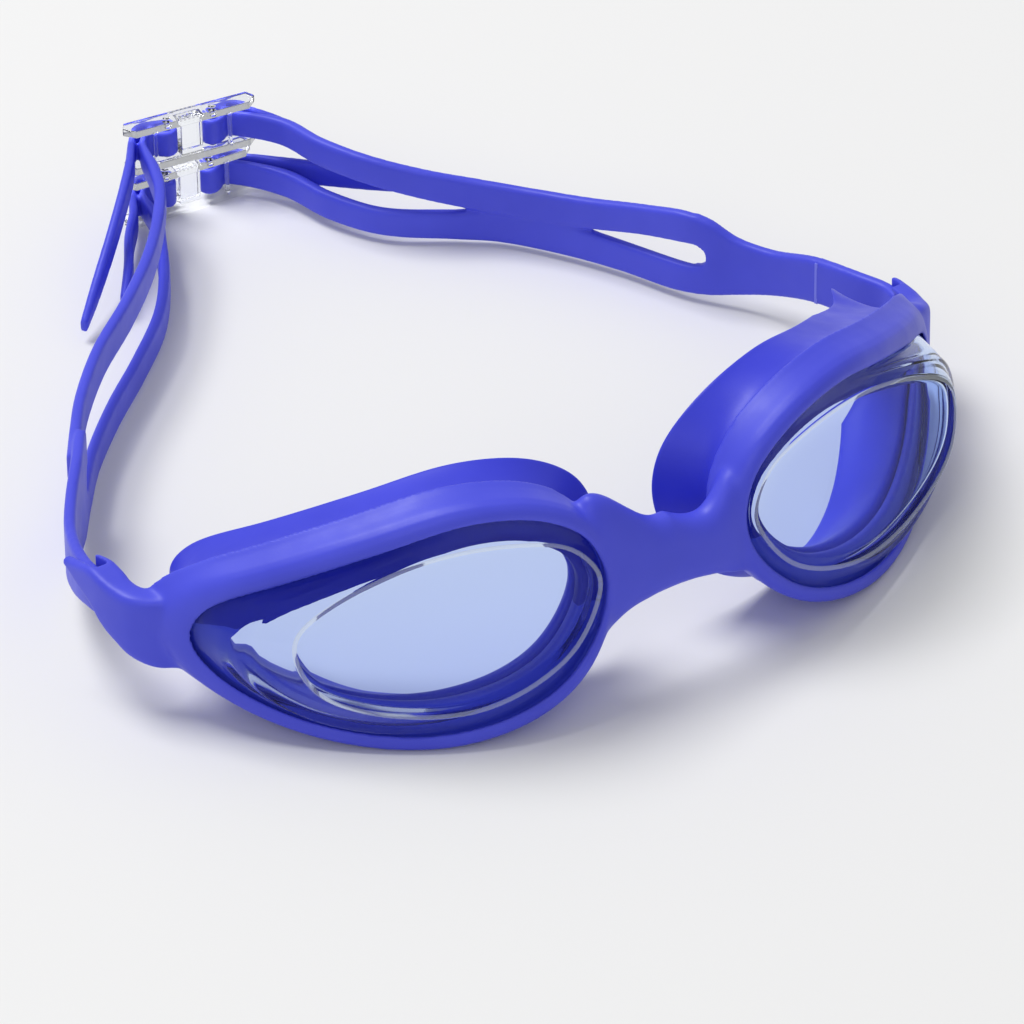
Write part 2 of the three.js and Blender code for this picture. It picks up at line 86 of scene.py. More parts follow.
RIM_REACH, TEMPLE_LOSS = 58, 0.1              # nose to temple, and the share of depth lost there
LENS_WALL = 1.5
FLANGE_OUT, FLANGE_MIDDLE, FLANGE_IN = 1.3, 0.6, -0.3
FLANGE_FRONT, FLANGE_BACK = 1.3, 3.0
SEAL_START, NOSE_SHIFT, TEMPLE_SHIFT = 7.3, 5, 9
SEAL_LIP_BACK = 7.9                           # how far back the seal's lip is
SEAL_PEAK = 1.7                               # how far the right seal's temple corner is drawn out
PEAK_FACING, PEAK_SPREAD = 36, 12             # degrees: where round the rim that corner is
BRIDGE_REACH, BRIDGE_TOP, BRIDGE_BOTTOM = 17, 7.2, -5
BRIDGE_FRONT, BRIDGE_DEPTH, BRIDGE_FLARE = -0.4, 5.4, 2.4
BRIDGE_LEFT_SWEEP, BRIDGE_RIGHT_SWEEP, BRIDGE_SAG = 7.8, 3, 2.2
BRIDGE_SECTIONS, BRIDGE_POINTS, BRIDGE_ROUNDNESS = 61, 48, 0.75
LUG_X, LUG_Y, LUG_RIGHT_Z, LUG_LEFT_Z = 77.8, 48.6, -8.4, -3.9
LUG_ROOF_END = 49.2                           # where the roof over the strap's end stops
LUG_WALL_END = {1: 46.4, -1: 53.4}            # where the inner wall stops, right and left
STRAP_END_RADIUS, POCKET_RADIUS = 4.2, 4.6
STRAP_THICKNESS = 2
LOOP_THICKNESS = 1.1                          # the bands stretch thinner where they turn in the clips
LOOP_HALF_HEIGHT = 2.6
CLIP_LENGTH, CLIP_HEIGHT, CLIP_RAIL = 25, 9, 1.4
CLIP_DEPTH, CLIP_BEVEL = 3.6, 1.8
CLIP_PIN, CLIP_BAR = 4.3, 7                   # pins and thin bars, each side of a clip's middle
CLIP_PIN_RADIUS, CLIP_PIN_HEAD = 0.5, 0.25
CLIP_BAR_RADIUS, CLIP_BAR_FRONT = 0.4, -1.5
PLATE_HALF, PLATE_FRONT, PLATE_BACK = 2, -1.2, 1.2
RIB_COUNT, RIB_SPAN, RIB_HALF, RIB_RISE = 7, 2.4, 0.2, 0.22
RIB_FRONT, RIB_BACK = -1.9, 1.5
CLIPS = {"upper": (9, -7.3, -0.13), "lower": (8.2, -17.3, -0.06)}  # x, z, turn in radians
FRAME_VOXEL, STRAP_VOXEL, CLIP_VOXEL = 0.3, 0.36, 0.16
FRAME_ROUNDS, STRAP_ROUNDS, CLIP_ROUNDS = 2, 5, 2

# ---- The stage and the camera, in metres and degrees ----------------------------------------------

FLOOR_REACH, FLOOR_SHADE, SKY_STRENGTH = 6, 0.83, 0.45
LAMPS = {"key": ((-0.5, 0.9, 2.2), 1.1, 40), "front": ((-1.2, -1.3, 1.2), 0.9, 4)}  # place, size, watts
CAMERA_AZIMUTH, CAMERA_ELEVATION, CAMERA_DISTANCE = -34.5, 35, 1.4
CAMERA_SENSOR, CAMERA_LENS = 36, 308.355      # millimetres
CAMERA_SHIFT_X, CAMERA_SHIFT_Y = -0.16289, 0.04736


# ---- Mesh helpers -------------------------------------------------------------------------------

def place(points):
    """Points in bridge millimetres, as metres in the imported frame."""
    return (np.asarray(points, float) + ORIGIN) * MM


def mesh_object(name, points, faces):
    mesh = bpy.data.meshes.new(name)
    mesh.from_pydata([tuple(p) for p in place(points)], [], faces)
    work = bmesh.new()
    work.from_mesh(mesh)
    bmesh.ops.remove_doubles(work, verts=work.verts, dist=1e-7)
    bmesh.ops.recalc_face_normals(work, faces=work.faces)
    work.to_mesh(mesh)
    work.free()
    piece = bpy.data.objects.new(name, mesh)
    bpy.context.scene.collection.objects.link(piece)
    shade_smooth(piece)
    return piece


def shade_smooth(piece):
    piece.data.polygons.foreach_set("use_smooth", [True] * len(piece.data.polygons))


def grid_faces(rows, columns, close_rows=False):
    """Quads between rings; every ring closes on itself."""
    faces = []
    for r in range(rows if close_rows else rows - 1):
        below, above = r * columns, (r + 1) % rows * columns
        for c in range(columns):
            right = (c + 1) % columns
            faces.append((below + c, below + right, above + right, above + c))
    return faces


def hoop(name, rings):
    """A closed band: the last ring joins the first."""
    return mesh_object(name, np.concatenate(rings), grid_faces(len(rings), len(rings[0]), True))


def stack(name, rings):
    """A solid from a stack of rings, with a fan over each end."""
    count = len(rings[0])
    points = [*np.concatenate(rings), rings[0].mean(axis=0), rings[-1].mean(axis=0)]
    faces = grid_faces(len(rings), count)
    first, last, top = len(points) - 2, len(points) - 1, (len(rings) - 1) * count
    for c in range(count):
        right = (c + 1) % count
        faces.append((first, right, c))
        faces.append((last, top + c, top + right))
    return mesh_object(name, points, faces)


def apply_modifier(piece, kind, **settings):
    """Adds a modifier, applies it to the mesh and takes it off again."""
    modifier = piece.modifiers.new(kind, kind)
    for key, value in settings.items():
        setattr(modifier, key, value)
    graph = bpy.context.evaluated_depsgraph_get()
    made = bpy.data.meshes.new_from_object(piece.evaluated_get(graph))
    piece.modifiers.clear()
    old = piece.data
    piece.data = made
    bpy.data.meshes.remove(old)
    shade_smooth(piece)


def join(name, pieces):
    """One object from several."""
    work = bmesh.new()
    for piece in pieces:
        work.from_mesh(piece.data)
        bpy.data.objects.remove(piece)
    mesh = bpy.data.meshes.new(name)
    work.to_mesh(mesh)
    work.free()
    piece = bpy.data.objects.new(name, mesh)
    bpy.context.scene.collection.objects.link(piece)
    shade_smooth(piece)
    return piece


def cut(piece, cutters):
    for cutter in cutters:
        apply_modifier(piece, "BOOLEAN", operation="DIFFERENCE", solver="EXACT", object=cutter)
        bpy.data.objects.remove(cutter)


def moulded(piece, voxel, rounds):
    """Melts the overlapping solids into one skin, and softens its edges as a mould does."""
    apply_modifier(piece, "REMESH", mode="VOXEL", voxel_size=voxel * MM)
    apply_modifier(piece, "SMOOTH", factor=0.5, iterations=rounds)
    return piece


def smooth_curve(points, count, closed):
    """Evenly spaced points on a centripetal Catmull-Rom curve through these."""
    points = np.asarray(points, float)
    total = len(points)
    if closed:
        padded = np.concatenate([points[-1:], points, points[:2]])
    else:
        padded = np.concatenate([[2 * points[0] - points[1]], points, [2 * points[-1] - points[-2]]])
    fine = []
    for i in range(total if closed else total - 1):
        p0, p1, p2, p3 = padded[i:i + 4]
        knots = np.cumsum([0] + [max(np.linalg.norm(b - a), 1e-6) ** 0.5
                                 for a, b in ((p0, p1), (p1, p2), (p2, p3))])
        t = np.linspace(knots[1], knots[2], CURVE_STEPS, endpoint=False)[:, None]
        a1 = ((knots[1] - t) * p0 + t * p1) / knots[1]
        a2 = ((knots[2] - t) * p1 + (t - knots[1]) * p2) / (knots[2] - knots[1])
        a3 = ((knots[3] - t) * p2 + (t - knots[2]) * p3) / (knots[3] - knots[2])
        b1 = ((knots[2] - t) * a1 + t * a2) / knots[2]
        b2 = ((knots[3] - t) * a2 + (t - knots[1]) * a3) / (knots[3] - knots[1])
        fine.append(((knots[2] - t) * b1 + (t - knots[1]) * b2) / (knots[2] - knots[1]))
    fine = np.concatenate(fine if closed else [*fine, points[-1:]])
    if closed:
        for _ in range(SOFTENING_ROUNDS):
            fine = (np.roll(fine, 1, axis=0) + 2 * fine + np.roll(fine, -1, axis=0)) / 4
        fine = np.concatenate([fine, fine[:1]])
    steps = np.linalg.norm(np.diff(fine, axis=0), axis=1)
    along = np.concatenate([[0], np.cumsum(steps)])
    wanted = np.linspace(0, along[-1], count, endpoint=not closed)
    return np.stack([np.interp(wanted, along, fine[:, k]) for k in range(fine.shape[1])], axis=1)


def spline_rings(rings, closed, cuts=3):
    """Rounds a stack of rings along the section with a cubic B-spline."""
    rings = np.asarray(rings)
    ends = [] if closed else [rings[0]] * 2
    tail = list(rings[:3]) if closed else [rings[-1]] * 2
    padded = np.asarray([*ends, *rings, *tail])
    made = []
    for i in range(len(padded) - 3):
        for step in range(cuts):
            t = step / cuts
            weights = [(1 - t) ** 3, 3 * t ** 3 - 6 * t ** 2 + 4,
                       -3 * t ** 3 + 3 * t ** 2 + 3 * t + 1, t ** 3]
            made.append(sum(w * padded[i + k] for k, w in enumerate(weights)) / 6)
    if not closed:
        made.append(rings[-1])
    return made


def mirrored(points):
    return np.asarray(points) * np.array([-1, 1, 1])


def both_sides(build):
    """Makes a piece on the right, then its mirror image on the left."""
    return {"right": build("right", lambda rings: rings),
            "left": build("left", lambda rings: [mirrored(ring) for ring in rings])}


# ---- Rims, lenses and seals ---------------------------------------------------------------------

def outline_normals(outline):
    """Unit normals that point out of an anticlockwise outline."""
    along = np.roll(outline, -1, axis=0) - np.roll(outline, 1, axis=0)
    along /= np.linalg.norm(along, axis=1)[:, None]
    return np.stack([along[:, 1], -along[:, 0]], axis=1)


def matched_pane(pane):
    """The pane's outline started at the point nearest the rim's own start, so rings line up."""
    angles = np.unwrap(np.arctan2(*(pane - PANE_MIDDLE).T[::-1]))
    rim_angles = np.unwrap(np.arctan2(*(RIM_POINTS - PANE_MIDDLE).T[::-1]))
    full = np.concatenate([angles - 2 * math.pi, angles, angles + 2 * math.pi])
    values = np.concatenate([pane, pane, pane])
    even = np.linspace(0, 2 * math.pi, RING_STEPS, endpoint=False) + rim_angles[0]
    target = PANE_EVEN_SHARE * even + (1 - PANE_EVEN_SHARE) * rim_angles
    return np.stack([np.interp(target, full, values[:, k]) for k in range(2)], axis=1)


RIM_POINTS = smooth_curve(RIM_OUTLINE, RING_STEPS, True)
RIM_NORMALS = outline_normals(RIM_POINTS)
TEMPLE_SHARE = (RIM_POINTS[:, 0] - WRAP_START) / RIM_REACH
# How far the silicone reaches inwards behind the lens, most at the temple and along the top.
LIP_REACH = 2.9 + 2.2 * TEMPLE_SHARE + 1.4 * np.maximum(RIM_NORMALS[:, 1], 0)
PANE_POINTS = matched_pane(smooth_curve(PANE_OUTLINE, RING_STEPS, True))
PANE_NORMALS = outline_normals(PANE_POINTS)


def wrap_depth(x):
    reach = x - WRAP_START
    return WRAP_SLOPE * reach + WRAP_CURVE * reach ** 2


def rim_ring(out, back):
    """A ring round the right rim: out from its inner edge and back from its front."""
    xz = RIM_POINTS + np.asarray(out)[..., None] * RIM_NORMALS
    share = 1 - TEMPLE_LOSS * (RIM_POINTS[:, 0] - WRAP_START) / RIM_REACH
    depth = wrap_depth(xz[:, 0]) + LEAN * xz[:, 1] + back * share
    return np.stack([xz[:, 0], depth, xz[:, 1]], axis=1)


def pane_depth(x, z):
    reach = x - PANE_START
    return PANE_DEPTH + PANE_SLOPE * reach + PANE_CURVE * reach ** 2 + PANE_LEAN * z


def pane_ring(inwards, back, size=1):
    xz = PANE_MIDDLE + size * (PANE_POINTS - inwards * PANE_NORMALS - PANE_MIDDLE)
    return np.stack([xz[:, 0], pane_depth(xz[:, 0], xz[:, 1]) + back, xz[:, 1]], axis=1)


def blend_rings(base, edge, sideways, forwards):
    """A ring between two others, with its own share of the way sideways and forwards."""
    share = np.array([sideways, forwards, sideways])
    return base + (edge - base) * share


def seal_ring(out, back, lean, drop=0, peak=0):
    """A ring of a seal, leaning towards the nose, most at the temple, with its top lowered.
    A peak draws the temple's upper corner out to a point."""
    near_temple = np.clip((RIM_POINTS[:, 0] - 57) / 12, 0, 1)
    corner = near_temple * np.clip(RIM_NORMALS[:, 1] / 0.5, 0, 1) * min(peak, 1)
    facing = np.degrees(np.arctan2(RIM_NORMALS[:, 1], RIM_NORMALS[:, 0]))
    tip = np.exp(-((facing - PEAK_FACING) / PEAK_SPREAD) ** 2)
    tip = tip * (RIM_POINTS[:, 0] > 60) * max(back / SEAL_LIP_BACK, 0) ** 2
    ring = rim_ring(out + peak * tip, SEAL_START + back * (1 - 0.3 * corner * (1 - tip)))
    ring[:, 0] -= lean * (NOSE_SHIFT + (TEMPLE_SHIFT - NOSE_SHIFT) * TEMPLE_SHARE)
    ring[:, 2] -= drop * np.maximum(RIM_NORMALS[:, 1], 0)
    return ring


def rim_sections():
    """The rim's closed section as (out, back), from the front of its inner edge round the outside."""
    section = [
        (0.15, 0.9), (0.05, 0.35), (0.35, 0), (1.1, -0.05), (1.9, 0.25), (2.6, 0.9), (2.95, 2.2),
        (3.0, 4.2), (3.15, 5.8), (3.4, 6.9), (3.5, 7.3), (3.3, 7.6), (2.5, 7.65), (0.9, 7.6),
        (-0.45 * LIP_REACH, 7.2), (-0.93 * LIP_REACH, 5.6), (-1.05 * LIP_REACH, 4.2),
        (-0.97 * LIP_REACH, 3.5), (-0.3 * LIP_REACH, 3.4),
        (1.6, 3.3), (1.7, 2.2), (1.6, 1.1), (0.5, 1.05),
    ]
    return [rim_ring(out, back) for out, back in section]


def lens_mesh(side, turn):
    """A clear shell: flange, small ridges, side wall and raised pane, outside then inside."""
    base, edge = rim_ring(FLANGE_IN, FLANGE_FRONT), pane_ring(0, 0)
    wall = [
        (0.0, 0.0), (0.05, 0.1), (0.1, 0.21), (0.125, 0.25), (0.13, 0.3),
        (0.2, 0.42), (0.23, 0.43), (0.245, 0.5), (0.27, 0.57),
        (0.33, 0.61), (0.45, 0.65), (0.52, 0.68), (0.57, 0.71), (0.7, 0.8), (0.85, 0.905),
        (0.95, 0.97), (0.985, 0.992),
    ]
    outside = [rim_ring(FLANGE_OUT, FLANGE_FRONT), rim_ring(FLANGE_MIDDLE, FLANGE_FRONT)]
    outside += [blend_rings(base, edge, s, f) for s, f in wall]
    outside += [edge, pane_ring(0.12, -0.16),
                pane_ring(0.3, -0.22), pane_ring(0.85, -0.1), pane_ring(1.15, 0.05)]
    outside += [pane_ring(1.6, 0.05, size) for size in (0.85, 0.65, 0.45, 0.25, 0.08)]
    inner_base = rim_ring(FLANGE_IN - LENS_WALL, FLANGE_BACK)
    inner_edge = pane_ring(LENS_WALL, LENS_WALL)
    inside = [blend_rings(inner_base, inner_edge, s, f)
              for s, f in ((0, 0), (0.1, 0.2), (0.25, 0.45), (0.45, 0.62), (0.7, 0.8), (0.92, 0.95))]
    inside += [inner_edge] + [pane_ring(LENS_WALL + 0.5, LENS_WALL, size)
                              for size in (1, 0.85, 0.65, 0.45, 0.25, 0.08)]
    rings = inside[::-1] + [rim_ring(FLANGE_OUT, FLANGE_BACK)] + outside
    piece = stack("lens_shell_" + side, turn(rings))
    # The two bands just inside the pane's edge get the half-clear, whitish edge material: a painted
    # highlight along the pane's rounded edge.
    first = len(inside) + 1 + 2 + len(wall)
    for face in piece.data.polygons[(first + 1) * RING_STEPS:(first + 3) * RING_STEPS]:
        face.material_index = 1
    return piece


def seal_mesh(side, turn):
    """A soft hoop: a neck behind the rim, flaring to a thin rounded lip.
    Its section is a list of (out, back, lean, drop)."""
    outside = [(2.1, -0.6, 0, 0), (1.9, 0.2, 0, 0), (1.3, 1.1, 0.04, 0), (1.0, 2.2, 0.12, 0),
               (1.05, 3.3, 0.3, 0.4), (1.45, 4.6, 0.52, 0.85), (2.1, 6, 0.76, 1.35),
               (2.75, 7.1, 0.95, 1.75), (3.05, 7.55, 1.02, 1.85)]
    lip = [(2.95, 7.85, 1.05, 1.85), (2.6, 7.95, 1.03, 1.8), (2.15, 7.7, 0.98, 1.75)]
    inside = [(1.4, 6.6, 0.82, 1.4), (0.4, 5.3, 0.6, 0.95), (-0.25 * LIP_REACH, 4, 0.36, 0.4),
              (-0.6 * LIP_REACH, 2.6, 0.12, 0), (-0.85 * LIP_REACH, 1.2, 0.04, 0),
              (-0.9 * LIP_REACH, 0, 0, 0), (-0.6 * LIP_REACH, -0.6, 0, 0)]
    peak = SEAL_PEAK if side == "right" else 0
    rings = spline_rings([seal_ring(*s, peak) for s in outside + lip + inside], True)
    return hoop("face_seal_" + side, turn(rings))


# ---- The frame: rims, bridge and arms -------------------------------------------------------------

def eased(share):
    """A smooth step from 0 to 1."""
    share = min(max(share, 0), 1)
    return share * share * (3 - 2 * share)


def bridge_rings():
    """The bridge lies twisted: its top sweeps up into the left rim, and stays low on the right."""
    rings = []
    turn = np.linspace(0, 2 * math.pi, BRIDGE_POINTS, endpoint=False)
    high = np.sign(np.sin(turn)) * np.abs(np.sin(turn)) ** BRIDGE_ROUNDNESS
    deep = np.sign(np.cos(turn)) * np.abs(np.cos(turn)) ** BRIDGE_ROUNDNESS
    for across in np.linspace(-1, 1, BRIDGE_SECTIONS):
        x = BRIDGE_REACH * across
        flare = abs(across) ** BRIDGE_FLARE
        if x < 0:
            sunk = eased((abs(across) - 0.8) / 0.2)
            rise = BRIDGE_LEFT_SWEEP * eased((-x - 1.5) / 12) - 2 * sunk
        else:
            sunk = eased((across - 0.62) / 0.38)
            rise = BRIDGE_RIGHT_SWEEP * eased((x - 6) / 8) - BRIDGE_SAG * math.sin(math.pi * min(x / 12, 1))
        top, bottom = BRIDGE_TOP + rise - 0.6 * sunk, BRIDGE_BOTTOM - 6.4 * flare + 1.6 * sunk
        front, depth = BRIDGE_FRONT + 2.6 * sunk, BRIDGE_DEPTH + 1.6 * flare - 3.4 * sunk
        z = (top + bottom) / 2 + (top - bottom) / 2 * high
        y = front + depth / 2 * (1 + deep) + LEAN * z
        rings.append(np.stack([np.full(BRIDGE_POINTS, x), y, z], axis=1))
    return rings


def ribbon_rings(stations, steps, corner=0.75, points=24):
    """Rounded sections along a band that stands on edge.
    A station is (x, y, low z, high z, thickness)."""
    line = smooth_curve(stations, steps, False)
    along = np.gradient(line[:, :2], axis=0)
    along /= np.linalg.norm(along, axis=1)[:, None]
    rings = []
    for (x, y, low, high, thickness), (ax, ay) in zip(line, along):
        half, radius = (high - low) / 2, min(corner, thickness / 2 - 0.01, (high - low) / 2 - 0.01)
        section = []
        for quarter, (sx, sz) in enumerate(((1, 1), (-1, 1), (-1, -1), (1, -1))):
            for step in range(points // 4):
                angle = (quarter + step / (points // 4 - 1)) * math.pi / 2
                across = sx * (thickness / 2 - radius) + radius * math.cos(angle)
                up = sz * (half - radius) + radius * math.sin(angle)
                section.append((x + ay * across, y - ax * across, (low + high) / 2 + up))
        rings.append(np.array(section))
    return rings


def arm_stations(sign, lug_height):
    """The arm's sections; the right lug ends short and square, the left one in a long tongue.
    Each row is x, y, low z, high z, and how much of the lug's own height it takes up."""
    lift = lug_height + 5
    ends = {1: [(77.7, 49.4, -6.8, 0.5, 1), (77.8, 51, -5.8, 0.3, 1), (77.8, 52.2, -5, 0, 1)],
            -1: [(77.8, 49.6, -6.4, 0.6, 1), (78, 53.6, -4.4, -0.4, 1), (78.1, 56.6, -2.6, -1.2, 1)]}
    shared = [(70.5, 37.6, -13.6, 0.4, 0), (74, 39, -13.2, 0.3, 0), (76.3, 41, -12.2, 0.1, 0.4),
              (77.3, 43.8, -10.5, 0, 0.7), (77.6, 46.8, -8.6, 0.3, 0.9)]
    return [(sign * x, y, low + share * lift, high + share * lift, 4.8 if y < 45 else 5.2)
            for x, y, low, high, share in shared + ends[sign]]


def block(name, low, high):
    corners = np.array([(x, y, z) for x in (low[0], high[0]) for y in (low[1], high[1])
                        for z in (low[2], high[2])])
    faces = [(0, 1, 3, 2), (4, 6, 7, 5), (0, 4, 5, 1), (2, 3, 7, 6), (0, 2, 6, 4), (1, 5, 7, 3)]
    return mesh_object(name, corners, faces)


def slot_cutters(sign, lug_height):
    """The round pocket for the strap's end, and the room where the inner wall has ended."""
    gap = STRAP_THICKNESS / 2 + GAP
    inner_side = LUG_X - 0.9 if sign > 0 else LUG_X + gap
    spans = ((LUG_X - gap, LUG_X + gap, LUG_Y, lug_height + POCKET_RADIUS),
             (LUG_X - gap, LUG_X + gap, LUG_ROOF_END, 20),
             (LUG_X - 5.4, inner_side, LUG_WALL_END[sign], 20))
    cutters = [block("slot", (min(sign * a, sign * b), start, lug_height - 15),
                     (max(sign * a, sign * b), 80, top)) for a, b, start, top in spans]
    return [post(sign * LUG_X, LUG_Y, lug_height, POCKET_RADIUS, (1, 0), gap), *cutters]


def from_rim(flat):
    """How far points (x, z) are outside the inner edge of the right rim."""
    out = np.zeros(len(flat))
    for chunk in np.array_split(np.arange(len(flat)), 60):  # in turns, to spare memory
        offsets = flat[chunk][:, None, :] - RIM_POINTS[None]
        nearest = np.argmin((offsets ** 2).sum(axis=2), axis=1)
        out[chunk] = (offsets[np.arange(len(chunk)), nearest] * RIM_NORMALS[nearest]).sum(axis=1)
    return out


def faded(distance, width):
    """From 0 up to 1 across a width."""
    return np.clip(distance / width, 0, 1)


def blend_joins(piece):
    """Fillets the bridge and the arms into the rims, by smoothing round their joins only."""
    points = np.array([vertex.co for vertex in piece.data.vertices]) / MM - ORIGIN
    across = np.abs(points[:, 0])
    outside = faded(from_rim(np.stack([across, points[:, 2]], axis=1)) - 0.9, 0.8)
    nose = faded(across - 6, 3) * faded(18 - across, 4)
    arm = faded(across - 66, 4) * faded(46 - points[:, 1], 4)
    lug = 0.5 * faded(points[:, 1] - 44, 3)
    for name, weights, rounds in (("nose", nose * outside, 90), ("arm", arm * outside, 60),
                                  ("lug", lug, 5)):
        group = piece.vertex_groups.new(name=name)
        for index in np.flatnonzero(weights > 0.01):
            group.add([int(index)], float(weights[index]), "REPLACE")
        apply_modifier(piece, "SMOOTH", factor=0.5, iterations=rounds, vertex_group=name)
    piece.vertex_groups.clear()


def paint_shade_behind_lenses(piece):
    """Paints shade on the silicone behind the lenses: those faces get their own material slot, with a
    darker copy of the silicone.
    """
    centres = np.array([face.center for face in piece.data.polygons]) / MM - ORIGIN
    across = np.abs(centres[:, 0])
    flat = np.stack([across, centres[:, 2]], axis=1)
    back = centres[:, 1] - wrap_depth(across) - LEAN * centres[:, 2]
    beside_nose, before_lug = across > 9, across < 75
    behind_lens = (from_rim(flat) < 0.1) & (back > 0.5)
    upper = centres[:, 2] > -3
    painted_shade_slots = (beside_nose & before_lug & behind_lens & upper).astype(np.int32)
    piece.data.polygons.foreach_set("material_index", painted_shade_slots)


def frame_mesh():
    rims = [hoop("rim", rim_sections()), hoop("rim", [mirrored(r) for r in rim_sections()])]
    bridge = stack("bridge", bridge_rings())
    arms = []
    for sign, height in ((1, LUG_RIGHT_Z), (-1, LUG_LEFT_Z)):
        arm = stack("arm", ribbon_rings(arm_stations(sign, height), 60, corner=1.2))
        cut(arm, slot_cutters(sign, height))
        arms.append(arm)
    lip = -0.85 * LIP_REACH
    opening = [rim_ring(0.3, -4), rim_ring(0.3, 3.4), rim_ring(lip, 3.5), rim_ring(lip, 12)]
    cutters = [stack("opening", opening), stack("opening", [mirrored(r) for r in opening])]
    for part in (bridge, *arms):
        for cutter in cutters:
            apply_modifier(part, "BOOLEAN", operation="DIFFERENCE", solver="EXACT", object=cutter)
    for cutter in cutters:
        bpy.data.objects.remove(cutter)
    piece = moulded(join("silicone_frame", [*rims, bridge, *arms]), FRAME_VOXEL, FRAME_ROUNDS)
    blend_joins(piece)
    paint_shade_behind_lenses(piece)
    return piece


# ---- Straps -----------------------------------------------------------------------------------------

def clip_point(clip, along, back):
    x, _, turn = CLIPS[clip]
    cos, sin = math.cos(turn), math.sin(turn)
    return x + along * cos - back * sin, CLIP_CENTRE_DEPTH + along * sin + back * cos


def clip_turn(clip, sign):
    """A band's way through a clip: in behind the outer bar, round the pin and out again."""
    z = CLIPS[clip][1]
    radius = CLIP_PIN_RADIUS + GAP + LOOP_THICKNESS / 2
    path = [(9.3, -1.1), (7.2, 0.4), (5.8, -0.7)]
    path += [(CLIP_PIN - radius * math.cos(a), radius * math.sin(a))
             for a in np.linspace(-math.pi / 2, math.pi / 2, 7)]
    path += [(6.4, 1.9), (8.2, 2.1), (9.9, 1.3)]
    return [(*clip_point(clip, sign * along, back), z - LOOP_HALF_HEIGHT, z + LOOP_HALF_HEIGHT,
             LOOP_THICKNESS) for along, back in path]


def strap_end(sign, height):
    """The strap's half-round end, which sits in the lug."""
    rows = []
    for share in (-1, -0.9, -0.7, -0.4, 0):
        half = max(STRAP_END_RADIUS * math.sqrt(1 - share * share), 0.7)
        rows.append((sign * LUG_X, LUG_Y + STRAP_END_RADIUS * share, height - half, height + half,
                     STRAP_THICKNESS))
    return rows


def post(x, y, z, radius, along, length):
    """A round cutter through the strap, pointing along a plan direction."""
    ax, ay = np.array(along) / np.hypot(*along)
    rings = []
    for reach in (-length, length):
        angles = np.linspace(0, 2 * math.pi, 40, endpoint=False)
        rings.append(np.stack([x + ax * reach - ay * radius * np.cos(angles),
                               y + ay * reach + ax * radius * np.cos(angles),
                               z + radius * np.sin(angles)], axis=1))
    return stack("post", rings)


def strap_mesh(name, bands, slot_end):
    """Bands melted into one moulding; the slot between them ends in a round."""
    parts = [stack("band", ribbon_rings(stations, steps)) for stations, steps in bands]
    cut(parts[0], [post(*slot_end)])
    return moulded(join(name, parts), STRAP_VOXEL, STRAP_ROUNDS)


def right_strap():
    t = STRAP_THICKNESS
    single = [
        (LUG_X, LUG_Y, -12.6, -4.2, t), (78, 52, -12.6, -4.2, t), (76.2, 57.5, -13.2, -4.3, t),
        (73.8, 67, -14.2, -5.4, t), (71.2, 76.4, -17, -8, t), (68.2, 82, -18.8, -7.4, t),
        (65.6, 85.6, -19.8, -5, t), (64, 88, -20.2, -4.2, t),
    ]
    upper = [
        (66.6, 84.2, -10.2, -6.4, t), (63.5, 88.6, -10.2, -4.3, t), (59.6, 97.4, -11.6, -5.8, t),
        (55, 107, -13.8, -7.9, t), (50.1, 115.2, -14.7, -8.8, t), (43, 123.4, -14.4, -8.4, t),
        (35, 129.6, -12.3, -6.6, t), (28.5, 136.6, -10.6, -5.1, t), (24.6, 145, -10, -4.6, t),
        (22.8, 154, -9.9, -4.7, t),
    ]
    lower = [
        (66.6, 84.2, -19.2, -14.6, t), (63, 89.6, -20.3, -14.6, t), (57.8, 102, -20.6, -14.8, t),
        (52.9, 111.2, -20.7, -14.2, t), (45.9, 121.3, -20.8, -14.2, t), (39.5, 126.6, -20.7, -15, t),
        (30, 134, -20.3, -15, t), (25, 143.3, -20.1, -14.8, t), (22.6, 153, -19.9, -14.7, t),
    ]
    upper_tail = [(23.7, 157, -10.4, -6, 1.6), (26.4, 149.6, -11.2, -7.6, 1.6)]
    lower_tail = [
        (23.4, 157, -19.2, -14.2, 1.6), (27.7, 148, -17, -12.2, 1.6),
        (33.4, 139.6, -15.6, -11.4, 1.6), (40.6, 131.6, -14.6, -12, 1.4),
    ]
    bands = [
        (strap_end(1, LUG_RIGHT_Z)[:-1] + single, 110),
        (upper + clip_turn("upper", 1) + upper_tail, 260),
        (lower + clip_turn("lower", 1) + lower_tail, 280),
    ]
    strap = strap_mesh("strap_band_right", bands, (64, 88, -12.3, 2.15, (0.85, 0.55), 6))
    mould_line = [(74.24, 65.5, -13.7, -5.6, 2.1), (74.07, 66.1, -13.75, -5.65, 2.1)]
    seam = stack("seam", ribbon_rings(mould_line, 6, 0.05))
    # The mould line's rib is real; its paler silicone is a painted highlight along the ridge.
    seam.data.polygons.foreach_set("material_index", [1] * len(seam.data.polygons))
    return join("strap_band_right", [strap, seam])


